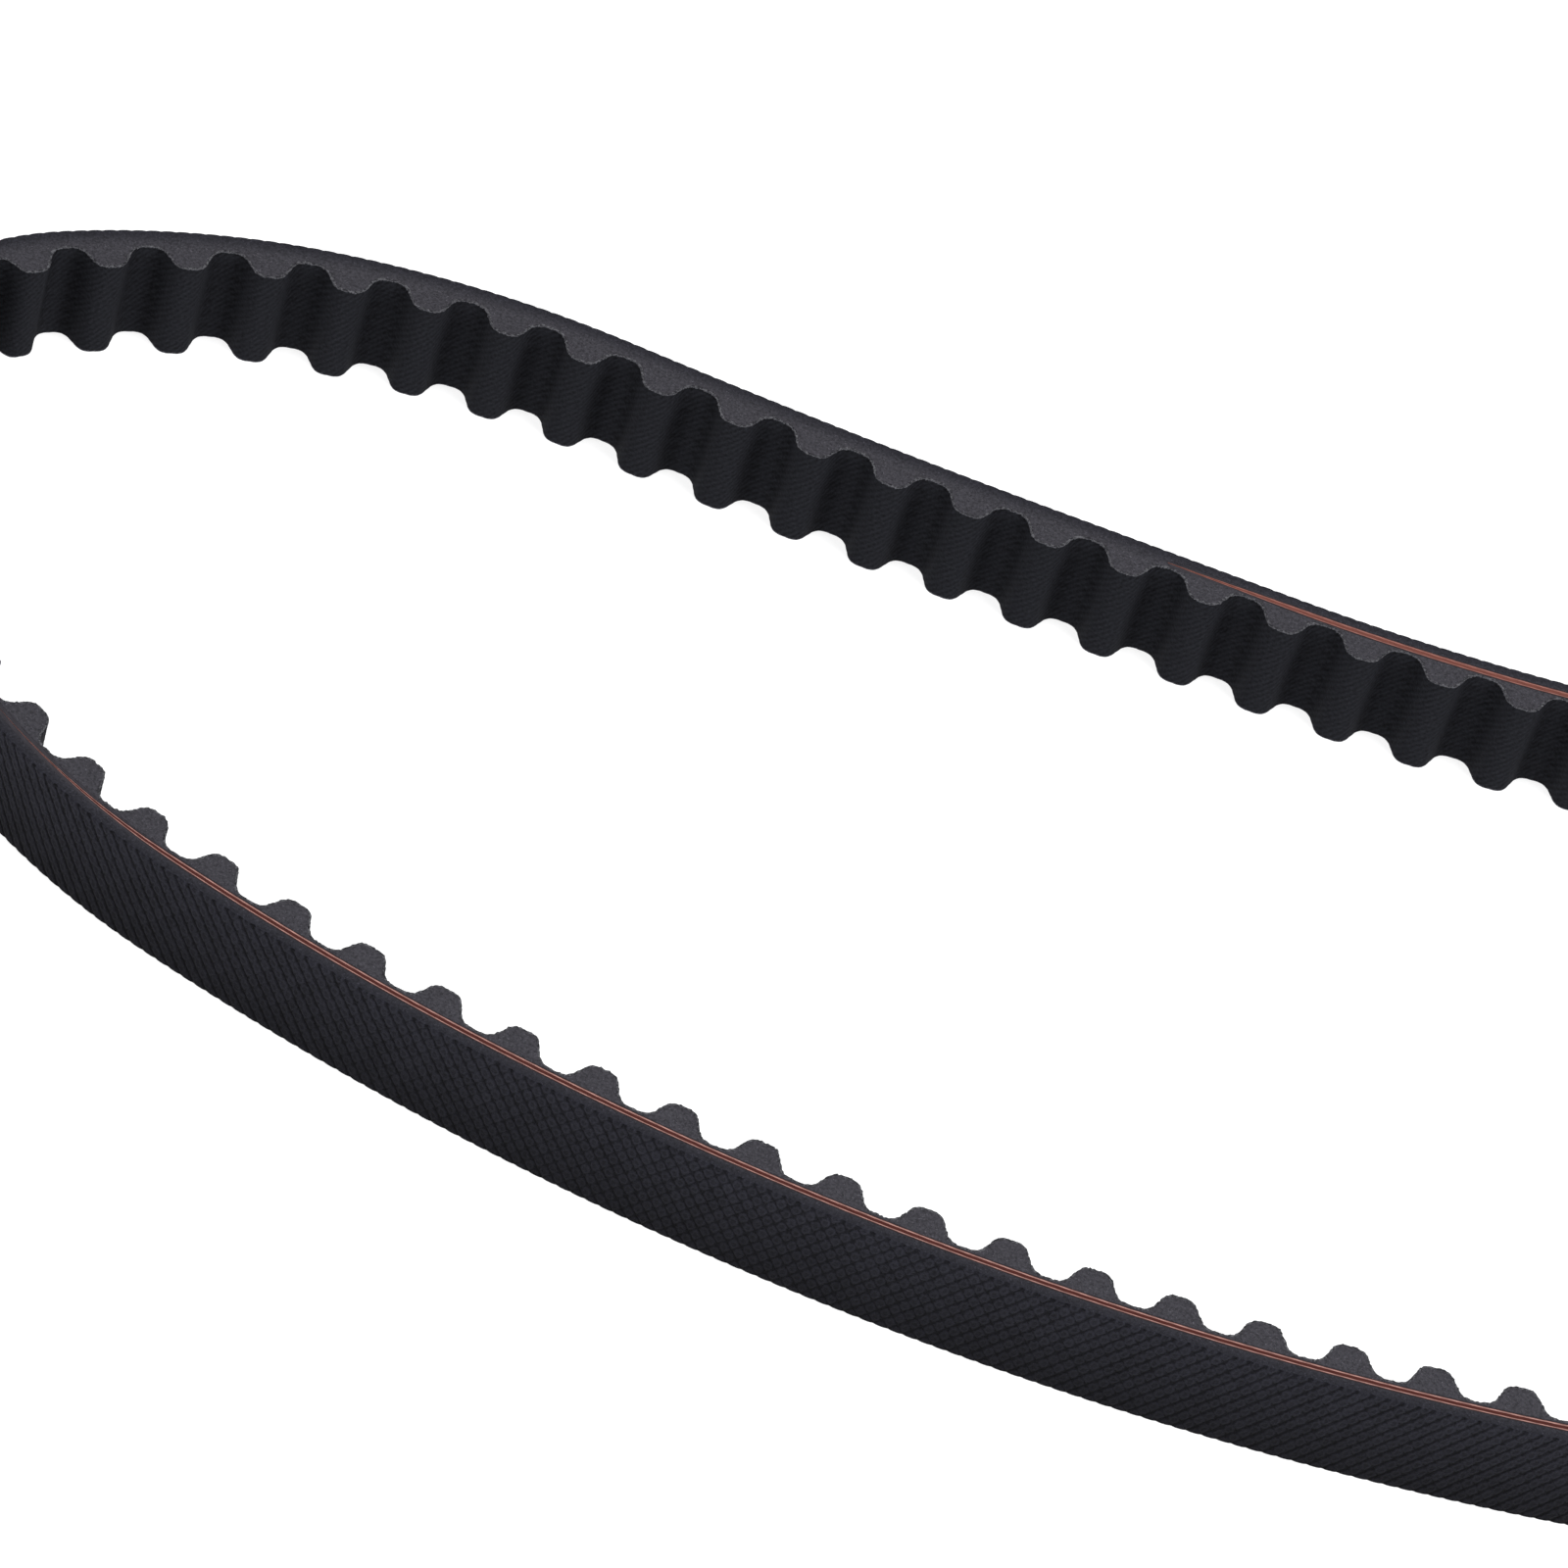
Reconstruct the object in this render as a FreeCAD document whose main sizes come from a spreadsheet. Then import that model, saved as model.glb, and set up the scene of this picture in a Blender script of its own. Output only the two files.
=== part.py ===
import FreeCAD, Part
import math
import os

# Endless timing belt standing on its edge, in millimetres and degrees.
#
# The pitch line is the centre line of the tensile cord. It is a closed chain of
# tangent arcs and straight runs, followed counter-clockwise as seen from above,
# so the toothed inner side is always on the left. Every layer is an offset of
# that line, extruded over the belt's width:
#
#   back cover    rubber from the back face in to the pitch line
#   tensile cord  one cord wound round the loop from the upper to the lower edge
#   tooth rubber  rubber from the pitch line in to the cloth, with the teeth
#   facing fabric the cloth over the teeth and the lands between them

DRIVING_SIZES = [
    ("pitch", 8.0, "tooth spacing along the pitch line"),
    ("tooth_count", 100, "teeth round the loop"),
    ("belt_width", 12.0, "from the lower to the upper cut edge"),
    ("tooth_height", 2.65, "from the land to the tooth's tip"),
    ("tooth_width", 3.9, "of a tooth at half its height"),
    ("flank_angle", 27.0, "of a flank from the tooth's centre line"),
    ("tip_radius", 1.35, "where a flank meets the tip"),
    ("root_radius", 1.5, "where a flank meets the land"),
    ("fabric_thickness", 0.2, "cloth over the teeth"),
    ("land_rubber", 0.08, "rubber between the cord and the cloth at a land"),
    ("back_rubber", 1.05, "rubber between the cord and the back face"),
    ("cord_diameter", 0.9, "tensile cord"),
    ("cord_lead", 1.7, "wanted step from one lap of the cord to the next"),
    ("start_heading", -41.5, "direction of the loop where the near side begins"),
    ("near_bend_radius", 71.0, "first arc of the near side"),
    ("near_bend_turn", 22.6, "its turn"),
    ("near_ease_radius", 260.0, "second arc of the near side"),
    ("near_ease_turn", 7.9, "its turn"),
    ("near_long_radius", 292.0, "long arc of the near side"),
    ("near_long_turn", 22.0, "its turn"),
    ("right_near_turn", 8.0, "arc that leads into the right end"),
    ("right_far_turn", 8.0, "arc that leads out of the right end"),
    ("hollow_radius", 220.0, "arc of the far side that bends outwards"),
    ("hollow_turn", 14.5, "its turn, clockwise"),
    ("far_straight", 24.0, "straight run of the far side"),
    ("flat_radius", 700.0, "nearly straight arc of the far side"),
    ("flat_turn", 3.6, "its turn, clockwise"),
    ("far_bend_radius", 107.0, "arc of the far side towards the left end"),
    ("far_bend_turn", 16.0, "its turn"),
    ("far_shoulder_radius", 78.0, "last arc of the far side"),
    ("far_shoulder_turn", 19.2, "its turn"),
    ("left_end_radius", 27.3, "tight left end"),
    ("left_end_turn", 109.2, "its turn"),
    ("left_straight", 16.0, "straight run between the left end and the near side"),
]

SHEET_NAME = "Dimensions"


def fill_sheet(document):
    """Write the driving sizes to the document's sheet, one row each."""
    sheet = document.addObject("Spreadsheet::Sheet", SHEET_NAME)
    for row, (alias, value, meaning) in enumerate(DRIVING_SIZES, start=1):
        sheet.set("A%d" % row, alias)
        sheet.set("B%d" % row, str(value))
        sheet.set("C%d" % row, meaning)
        sheet.setAlias("B%d" % row, alias)
    document.recompute()
    return sheet


document = FreeCAD.newDocument("timing_belt")
sizes = fill_sheet(document)

# Levels across the belt's thickness, inwards from the pitch line.
cord_radius = sizes.cord_diameter / 2
land_level = cord_radius + sizes.land_rubber + sizes.fabric_thickness
middle_level = land_level + sizes.tooth_height / 2
tip_level = land_level + sizes.tooth_height
back_level = -(cord_radius + sizes.back_rubber)

# The cord is stepped so that a whole number of laps fills the width.
lap_count = round(sizes.belt_width / sizes.cord_lead)
lap_step = sizes.belt_width / lap_count

flank = math.radians(sizes.flank_angle)

# The root's fillet is limited by the land, so that a pair of them leaves it some flat.
land_room = sizes.pitch / 2 - sizes.tooth_width / 2 - sizes.tooth_height / 2 * math.tan(flank)
widest_root = 0.7 * land_room / math.tan(math.pi / 4 - flank / 2)
root_radius = min(sizes.root_radius, widest_root)

belt_length = sizes.tooth_count * sizes.pitch


# ---------------------------------------------------------------- pitch line

class Run:
    """A stretch of the pitch line with one curvature, positive to the left."""

    def __init__(self, x, y, heading, length, curvature, distance):
        self.x = x
        self.y = y
        self.heading = heading
        self.length = length
        self.curvature = curvature
        self.distance = distance

    def heading_at(self, along):
        return self.heading + along * self.curvature

    def point(self, along, inward=0.0):
        """The point so far along the run and so far inside the pitch line."""
        now = self.heading_at(along)
        if self.curvature:
            radius = 1 / self.curvature
            x = self.x + radius * (math.sin(now) - math.sin(self.heading))
            y = self.y + radius * (math.cos(self.heading) - math.cos(now))
        else:
            x = self.x + along * math.cos(now)
            y = self.y + along * math.sin(now)
        return FreeCAD.Vector(x - inward * math.sin(now), y + inward * math.cos(now), 0)


def arc_travel(heading, turn):
    """Travel in x, in y and along an arc of unit radius that turns left."""
    end = heading + turn
    return [math.sin(end) - math.sin(heading), math.cos(heading) - math.cos(end), turn]


def solve_three(rows, wanted):
    """Solve three linear equations by Cramer's rule."""
    def determinant(m):
        return (m[0][0] * (m[1][1] * m[2][2] - m[1][2] * m[2][1])
                - m[0][1] * (m[1][0] * m[2][2] - m[1][2] * m[2][0])
                + m[0][2] * (m[1][0] * m[2][1] - m[1][1] * m[2][0]))

    whole = determinant(rows)
    answers = []
    for column in range(3):
        swapped = [list(row) for row in rows]
        for index in range(3):
            swapped[index][column] = wanted[index]
        answers.append(determinant(swapped) / whole)
    return answers


def loop_pieces():
    """The loop's pieces in order: an arc's turn and radius, or 0 and a length.

    The three arcs of the right end have no radius of their own. Theirs are what
    closes the loop and makes its length a whole number of pitches.
    """
    near = [(sizes.near_bend_turn, sizes.near_bend_radius),
            (sizes.near_ease_turn, sizes.near_ease_radius),
            (sizes.near_long_turn, sizes.near_long_radius)]
    far = [(-sizes.hollow_turn, sizes.hollow_radius),
           (0, sizes.far_straight),
           (-sizes.flat_turn, sizes.flat_radius),
           (sizes.far_bend_turn, sizes.far_bend_radius),
           (sizes.far_shoulder_turn, sizes.far_shoulder_radius),
           (sizes.left_end_turn, sizes.left_end_radius),
           (0, sizes.left_straight)]
    turned = sum(turn for turn, radius in near + far)
    end_turn = 360 - turned - sizes.right_near_turn - sizes.right_far_turn
    right = [(sizes.right_near_turn, None), (end_turn, None), (sizes.right_far_turn, None)]

    heading = math.radians(sizes.start_heading)
    travelled = [0.0, 0.0, 0.0]
    columns = []
    pieces = []
    for turn_degrees, radius in near + right + far:
        turn = math.radians(turn_degrees)
        if radius is None:
            columns.append(arc_travel(heading, turn))
        elif turn:
            signed_radius = math.copysign(radius, turn)
            step = arc_travel(heading, turn)
            travelled = [t + signed_radius * s for t, s in zip(travelled, step)]
        else:
            step = [math.cos(heading), math.sin(heading), 1.0]
            travelled = [t + radius * s for t, s in zip(travelled, step)]
        pieces.append([turn, radius])
        heading += turn

    rows = [[column[index] for column in columns] for index in range(3)]
    wanted = [-travelled[0], -travelled[1], belt_length - travelled[2]]
    solved = solve_three(rows, wanted)
    for piece, radius in zip([p for p in pieces if p[1] is None], solved):
        piece[1] = radius
        print("right end arc: turn %.1f, radius %.1f" % (math.degrees(piece[0]), radius))
    return pieces


def chain_runs(pieces, start_x, start_y):
    """Lay the pieces end to end from the start point."""
    runs = []
    heading = math.radians(sizes.start_heading)
    x, y, distance = start_x, start_y, 0.0
    for turn, radius in pieces:
        length = abs(turn) * radius if turn else radius
        curvature = turn / length
        run = Run(x, y, heading, length, curvature, distance)
        end = run.point(length)
        x, y = end.x, end.y
        heading += turn
        distance += length
        runs.append(run)
    return runs


def edge_on(run, begin, end, inward):
    """The edge that follows a run between two distances along it."""
    first = run.point(begin, inward)
    last = run.point(end, inward)
    if run.curvature:
        middle = run.point((begin + end) / 2, inward)
        return Part.Arc(first, middle, last).toShape()
    return Part.LineSegment(first, last).toShape()


def offset_loop(runs, inward):
    """The closed wire that runs round the loop, so far inside the pitch line."""
    return Part.Wire([edge_on(run, 0, run.length, inward) for run in runs])


def centred_runs():
    """The loop with the middle of its back face's box on the origin."""
    pieces = loop_pieces()
    box = offset_loop(chain_runs(pieces, 0, 0), back_level).optimalBoundingBox()
    return chain_runs(pieces, -box.Center.x, -box.Center.y)


loop_runs = centred_runs()


def stretch(begin, end):
    """The (run, from, to) parts of the loop between two distances round it."""
    parts = []
    for lap_start in (-belt_length, 0.0, belt_length):
        for run in loop_runs:
            run_start = lap_start + run.distance
            low = max(begin, run_start)
            high = min(end, run_start + run.length)
            if high - low > 1e-6:
                parts.append((run, low - run_start, high - run_start))
    return parts


def loop_point(distance, inward):
    """The point at a distance round the loop, so far inside the pitch line."""
    wrapped = distance % belt_length
    for run in loop_runs:
        if wrapped <= run.distance + run.length:
            break
    return run.point(wrapped - run.distance, inward)


# -------------------------------------------------------------- tooth outline

class ToothFrame:
    """A tooth's own axes: across its centre line, and inwards along it."""

    def __init__(self, distance):
        self.distance = distance
        self.origin = loop_point(distance, 0)
        self.inward = (loop_point(distance, 1) - self.origin).normalize()
        self.forward = FreeCAD.Vector(self.inward.y, -self.inward.x, 0)

    def to_loop(self, across, level):
        return self.origin + self.forward * across + self.inward * level

    def from_loop(self, point):
        offset = point - self.origin
        return offset.dot(self.forward), offset.dot(self.inward)


def flank_position(level, depth):
    """Half the tooth's width at a level, on the surface so deep under its face."""
    face = sizes.tooth_width / 2 - (level - middle_level) * math.tan(flank)
    return face - depth / math.cos(flank)


def tip_fillet(frame, side, depth):
    """Three points of the tip's fillet, from the flank to the tip."""
    radius = sizes.tip_radius - depth
    level = tip_level - depth - radius
    across = flank_position(level, depth) - radius / math.cos(flank)
    points = []
    for angle in (math.pi / 2 - flank, (math.pi / 2 - flank) / 2, 0.0):
        x = side * (across + radius * math.sin(angle))
        points.append(frame.to_loop(x, level + radius * math.cos(angle)))
    return points


def root_fillet(frame, side, depth):
    """Three points of the root's fillet, from the land to the flank, and where
    round the loop it leaves the land."""
    radius = root_radius + depth
    centre_level = land_level - depth + radius

    def clearance(reach):
        centre = loop_point(frame.distance + side * reach, centre_level)
        across, level = frame.from_loop(centre)
        return (side * across - flank_position(level, depth)) * math.cos(flank) - radius

    near, far = 0.0, sizes.pitch
    while far - near > 1e-9:
        reach = (near + far) / 2
        if clearance(reach) < 0:
            near = reach
        else:
            far = reach
    land_distance = frame.distance + side * reach
    centre = loop_point(land_distance, centre_level)
    land_point = loop_point(land_distance, land_level - depth)
    across, level = frame.from_loop(centre)
    flank_point = frame.to_loop(across - side * radius * math.cos(flank),
                                level - radius * math.sin(flank))
    towards_middle = (land_point + flank_point) * 0.5 - centre
    middle_point = centre + towards_middle.normalize() * radius
    return land_distance, [land_point, middle_point, flank_point]


def toothed_wire(depth):
    """The closed outline of the toothed side, so deep under the cloth's face."""
    teeth = []
    for index in range(int(sizes.tooth_count)):
        frame = ToothFrame(index * sizes.pitch)
        before, root_before = root_fillet(frame, -1, depth)
        after, root_after = root_fillet(frame, 1, depth)
        tip_before = tip_fillet(frame, -1, depth)
        tip_after = tip_fillet(frame, 1, depth)
        edges = [
            Part.Arc(*root_before).toShape(),
            Part.LineSegment(root_before[-1], tip_before[0]).toShape(),
            Part.Arc(*tip_before).toShape(),
            Part.LineSegment(tip_before[-1], tip_after[-1]).toShape(),
            Part.Arc(*reversed(tip_after)).toShape(),
            Part.LineSegment(tip_after[0], root_after[-1]).toShape(),
            Part.Arc(*reversed(root_after)).toShape(),
        ]
        teeth.append((before, after, edges))

    outline = []
    for index, (before, after, edges) in enumerate(teeth):
        last_tooth = index == len(teeth) - 1
        next_before = teeth[0][0] + belt_length if last_tooth else teeth[index + 1][0]
        outline += edges
        for run, begin, end in stretch(after, next_before):
            outline.append(edge_on(run, begin, end, land_level - depth))
    return Part.Wire(outline)


# ----------------------------------------------------------------- the layers

def ring_face(outer_wire, inner_wire):
    """The flat ring between two closed wires."""
    return Part.makeFace([outer_wire, inner_wire], "Part::FaceMakerBullseye")


def add_outline(name, face):
    """A flat outline held in the document for an extrusion."""
    feature = document.addObject("Part::Feature", name)
    feature.Shape = face
    return feature


def add_layer(name, outline):
    """The outline extruded over the belt's width."""
    layer = document.addObject("Part::Extrusion", name)
    layer.Base = outline
    layer.DirMode = "Custom"
    layer.Dir = FreeCAD.Vector(0, 0, 1)
    layer.Solid = True
    layer.setExpression("LengthFwd", SHEET_NAME + ".belt_width")
    return layer


def cord_section(point, heading):
    """The cord's round section, square to a level heading, its seam at 45 degrees."""
    circle = Part.Circle(FreeCAD.Vector(0, 0, 0), FreeCAD.Vector(1, 0, 0), cord_radius)
    section = Part.Face(Part.Wire(circle.toShape()))
    section.rotate(FreeCAD.Vector(0, 0, 0), FreeCAD.Vector(1, 0, 0), 45)
    section.rotate(FreeCAD.Vector(0, 0, 0), FreeCAD.Vector(0, 0, 1), math.degrees(heading))
    section.translate(point)
    return section


def level_cord(run, height):
    """The cord's stretch along one run, all at one height."""
    section = cord_section(run.point(0) + FreeCAD.Vector(0, 0, height), run.heading)
    if run.curvature:
        centre = run.point(0, 1 / run.curvature)
        axis = FreeCAD.Vector(0, 0, math.copysign(1, run.curvature))
        return section.revolve(centre, axis, math.degrees(run.length * abs(run.curvature)))
    return section.extrude(run.point(run.length) - run.point(0))


def stepped_cord(run, height):
    """The cord's S bend along a straight run, down by half a lap step.

    Two equal arcs in an upright plane: the first bends down, the second back.
    """
    drop = lap_step / 2
    bend = 2 * math.atan(drop / run.length)
    radius = run.length / (2 * math.sin(bend))
    sideways = FreeCAD.Vector(-math.sin(run.heading), math.cos(run.heading), 0)
    begin = run.point(0) + FreeCAD.Vector(0, 0, height)
    end = run.point(run.length) + FreeCAD.Vector(0, 0, height - drop)
    first = cord_section(begin, run.heading)
    last = cord_section(end, run.heading)
    down = begin - FreeCAD.Vector(0, 0, radius)
    back = end + FreeCAD.Vector(0, 0, radius)
    return [first.revolve(down, sideways, math.degrees(bend)),
            last.revolve(back, sideways, math.degrees(bend))]


def cord_winding():
    """The whole cord before its outer laps are cut off flush with the edges.

    On the near side, the right end and the far side's hollow the laps lie at
    whole steps below the upper edge, so the first and the last are cut through
    their middle. They sink half a step on the far straight run, stay there round
    the left end, and sink the other half on the left straight run.
    """
    straights = [index for index, run in enumerate(loop_runs) if not run.curvature]
    far_index, left_index = straights
    whole_step_runs = loop_runs[:far_index]
    half_step_runs = loop_runs[far_index + 1:left_index]

    tubes = []
    for lap in range(lap_count + 1):
        height = sizes.belt_width - lap * lap_step
        tubes += [level_cord(run, height) for run in whole_step_runs]
        if lap < lap_count:
            half_down = height - lap_step / 2
            tubes += stepped_cord(loop_runs[far_index], height)
            tubes += [level_cord(run, half_down) for run in half_step_runs]
            tubes += stepped_cord(loop_runs[left_index], half_down)
    return tubes[0].multiFuse(tubes[1:])


def add_cut(name, blank, winding):
    """A layer with the cord's channel cut out of it."""
    layer = document.addObject("Part::Cut", name)
    layer.Base = blank
    layer.Tool = winding
    return layer


def add_cord(name, winding):
    """The winding cut flush with both edges of the belt."""
    box = winding.Shape.BoundBox
    margin = sizes.pitch
    slab = document.addObject("Part::Box", "edge_slab")
    slab.Length = box.XLength + 2 * margin
    slab.Width = box.YLength + 2 * margin
    slab.setExpression("Height", SHEET_NAME + ".belt_width")
    slab.Placement.Base = FreeCAD.Vector(box.XMin - margin, box.YMin - margin, 0)
    cord = document.addObject("Part::Common", name)
    cord.Base = winding
    cord.Tool = slab
    return cord


def build_belt():
    """All four layers of the belt, as document objects."""
    pitch_wire = offset_loop(loop_runs, 0)
    back_wire = offset_loop(loop_runs, back_level)
    cloth_back_wire = toothed_wire(sizes.fabric_thickness)
    cloth_face_wire = toothed_wire(0)

    back_outline = add_outline("back_outline", ring_face(back_wire, pitch_wire))
    tooth_outline = add_outline("tooth_outline", ring_face(pitch_wire, cloth_back_wire))
    cloth_outline = add_outline("cloth_outline", ring_face(cloth_back_wire, cloth_face_wire))
    winding = add_outline("cord_winding", cord_winding())

    return [add_cut("back_cover", add_layer("back_blank", back_outline), winding),
            add_cord("tensile_cord", winding),
            add_cut("tooth_rubber", add_layer("tooth_blank", tooth_outline), winding),
            add_layer("facing_fabric", cloth_outline)]


def check_document(subparts):
    """Stop if any object failed or any sub-part isn't one valid solid."""
    for item in document.Objects:
        if "Invalid" in item.State or "Error" in item.State:
            raise RuntimeError("%s failed: %s" % (item.Label, item.State))
    for item in subparts:
        if item.Shape.isNull() or not item.Shape.isValid():
            raise RuntimeError("%s has no valid shape" % item.Label)
        if len(item.Shape.Solids) != 1:
            raise RuntimeError("%s has %d solids" % (item.Label, len(item.Shape.Solids)))


def export_subparts(subparts):
    """Write each sub-part to its own STEP file, named by its label."""
    os.makedirs("parts", exist_ok=True)
    for item in subparts:
        item.Shape.exportStep("parts/%s.step" % item.Label)
        print("%s: volume %.1f mm3" % (item.Label, item.Shape.Volume))


belt_parts = build_belt()
document.recompute()
check_document(belt_parts)
export_subparts(belt_parts)
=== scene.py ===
"""Looks of an endless timing belt that stands on its edge.

The belt is four bonded layers: a woven rubber back, a wound tensile cord, rubber teeth
and the cloth that faces them. Each layer is modelled straight and one repeat long, in
millimetres, then repeated, bent round the belt's loop and brought to metres.
"""
import logging
import math
from dataclasses import dataclass
from enum import Enum
from typing import Callable, TypeAlias

import bmesh
import bpy
import numpy as np
from mathutils import Matrix, Vector


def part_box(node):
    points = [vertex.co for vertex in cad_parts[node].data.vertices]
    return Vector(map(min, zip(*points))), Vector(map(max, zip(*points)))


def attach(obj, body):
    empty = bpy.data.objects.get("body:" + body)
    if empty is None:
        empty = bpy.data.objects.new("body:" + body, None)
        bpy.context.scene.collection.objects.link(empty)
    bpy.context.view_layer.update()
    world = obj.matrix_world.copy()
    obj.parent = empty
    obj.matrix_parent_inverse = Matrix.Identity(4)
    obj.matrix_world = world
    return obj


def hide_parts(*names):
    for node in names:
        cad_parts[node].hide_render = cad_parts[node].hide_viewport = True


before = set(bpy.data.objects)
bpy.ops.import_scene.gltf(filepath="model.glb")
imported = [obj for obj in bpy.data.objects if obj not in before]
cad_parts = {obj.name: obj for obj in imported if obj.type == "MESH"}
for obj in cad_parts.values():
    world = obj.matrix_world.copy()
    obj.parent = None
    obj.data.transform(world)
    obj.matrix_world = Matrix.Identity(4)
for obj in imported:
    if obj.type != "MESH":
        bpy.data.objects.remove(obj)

log = logging.getLogger("timing_belt")
Object: TypeAlias = bpy.types.Object
Vertex: TypeAlias = bmesh.types.BMVert
Edge: TypeAlias = bmesh.types.BMEdge
Face: TypeAlias = bmesh.types.BMFace
Socket: TypeAlias = bpy.types.NodeSocket
Span: TypeAlias = tuple[float, float]
Colour: TypeAlias = tuple[float, float, float, float]
Number: TypeAlias = "Value | float"
Paint: TypeAlias = "Socket | Colour"

WHITE: Colour = (1.0, 1.0, 1.0, 1.0)
METRES_PER_MM = 0.001
# Two heights in millimetres that are nearer than this are the same height.
TOUCH = 1e-4
# Vertices nearer than this, in millimetres, are merged: in a layer, and round the loop.
SEAM_GAP = 0.002
LOOP_SEAM_GAP = 0.004
# A face is part of a cut edge where its normal's z is beyond this.
CUT_FACE = 0.8
# Edges up to this many degrees are shaded smooth.
SMOOTH_ANGLE = 40


class Slot(Enum):
    """The record's material slots."""

    BACK = "back_rubber"
    CORD = "cord"
    TEETH = "tooth_rubber"
    CLOTH = "facing_cloth"


# ------------------------------------------------------------------ guide lines


@dataclass(frozen=True)
class Bend:
    """A stretch of a guide line.

    turn is in degrees, positive to the left, and reach is the arc's radius. With no
    turn the stretch is straight and reach is its length.
    """

    turn: float
    reach: float

    @property
    def length(self) -> float:
        """The stretch's length along the line."""
        return math.radians(abs(self.turn)) * self.reach if self.turn else self.reach

    def travel(self, heading: float, share: float = 1.0) -> Vector:
        """How far the stretch goes in x and y from a heading.

        Args:
            heading: its direction at the start, in radians.
            share: how much of the stretch is covered.

        Returns:
            The way from its start.
        """
        if not self.turn:
            return Vector((math.cos(heading), math.sin(heading))) * self.reach * share
        end = heading + math.radians(self.turn) * share
        radius = math.copysign(self.reach, self.turn)
        return Vector((math.sin(end) - math.sin(heading),
                       math.cos(heading) - math.cos(end))) * radius


class GuideLine:
    """A chain of tangent arcs and straight runs that a straight layer is bent along."""

    def __init__(self, name: str, bends: list[Bend], heading: float, start: Vector,
                 closed: bool, knot_spacing: float) -> None:
        """Keeps the chain.

        Args:
            name: the curve's name.
            bends: the stretches, each tangent to the one before.
            heading: the direction at the start, in radians.
            start: where the line begins, in millimetres.
            closed: whether the end meets the start.
            knot_spacing: the longest stretch between two knots of the curve.
        """
        self.name = name
        self.bends = bends
        self.heading = heading
        self.start = start
        self.closed = closed
        self.knot_spacing = knot_spacing

    @property
    def length(self) -> float:
        """The whole line's length."""
        return sum(bend.length for bend in self.bends)

    def knots(self) -> list[tuple[Vector, float, float, float]]:
        """The curve's knots: place, heading, and the handle lengths before and after.

        An arc's handles are those of the Bezier curve that comes nearest to the arc.
        """
        found = []
        place, heading, before = self.start.copy(), self.heading, 0.0
        for bend in self.bends:
            parts = max(1, math.ceil(bend.length / self.knot_spacing))
            turn = math.radians(bend.turn) / parts
            part = Bend(bend.turn / parts, bend.reach if turn else bend.reach / parts)
            handle = part.reach * (4 / 3 * math.tan(abs(turn) / 4) if turn else 1 / 3)
            for _ in range(parts):
                found.append((place.copy(), heading, before, handle))
                place += part.travel(heading)
                heading += turn
                before = handle
        if self.closed:
            first = found[0]
            found[0] = (first[0], first[1], before, first[3])
            return found[1:] + found[:1]
        return found + [(place, heading, before, 0.0)]

    def curve(self) -> Object:
        """The line as a curve object, whose path begins at the line's start."""
        data = bpy.data.curves.new(self.name, "CURVE")
        data.dimensions = "3D"
        data.twist_mode = "Z_UP"
        data.use_deform_bounds = False
        data.resolution_u = 12
        spline = data.splines.new("BEZIER")
        knots = self.knots()
        spline.bezier_points.add(len(knots) - 1)
        for point, (place, heading, before, after) in zip(spline.bezier_points, knots):
            ahead = Vector((math.cos(heading), math.sin(heading), 0))
            point.handle_left_type = point.handle_right_type = "FREE"
            point.co = place.to_3d()
            point.handle_left = place.to_3d() - ahead * before
            point.handle_right = place.to_3d() + ahead * after
        spline.use_cyclic_u = self.closed
        line = bpy.data.objects.new(self.name, data)
        bpy.context.scene.collection.objects.link(line)
        return line


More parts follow.
